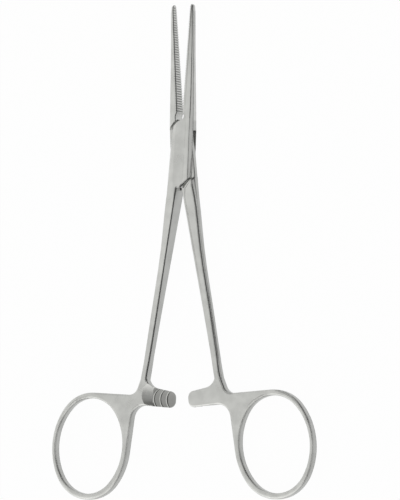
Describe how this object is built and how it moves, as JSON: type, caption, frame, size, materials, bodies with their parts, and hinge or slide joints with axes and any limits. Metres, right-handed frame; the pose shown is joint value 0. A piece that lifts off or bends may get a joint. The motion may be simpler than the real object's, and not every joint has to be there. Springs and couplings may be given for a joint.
{
  "type": "hemostat forceps",
  "caption": "Straight artery forceps with fine pointed serrated jaws, a slotted box lock, a ratchet between the shanks and oval finger rings, shown slightly open.",
  "frame": {"origin": "where the pivot axis meets the flat land on the back of the box, which the instrument rests on", "axes": "+Y along the instrument towards the jaw tips, +Z along the pivot axis towards the front, +X to the side of the jaw that belongs to the box half"},
  "size_m": [0.0844, 0.1404, 0.0046],
  "materials": {
    "satin_steel": "satin, finely blasted stainless steel",
    "ground_pin_steel": "ground flush with the box, satin"
  },
  "bodies": {
    "box_body": {"box_half": "satin_steel", "pivot_pin": "ground_pin_steel"},
    "inner_body": {"inner_half": "satin_steel"}
  },
  "joints": [
    {"name": "box_lock_pivot", "type": "hinge", "parent": "box_body", "child": "inner_body", "pos_m": [0, 0, 0], "axis": [0, 0, 1], "range_deg": [-7.6, 42.4]}
  ]
}
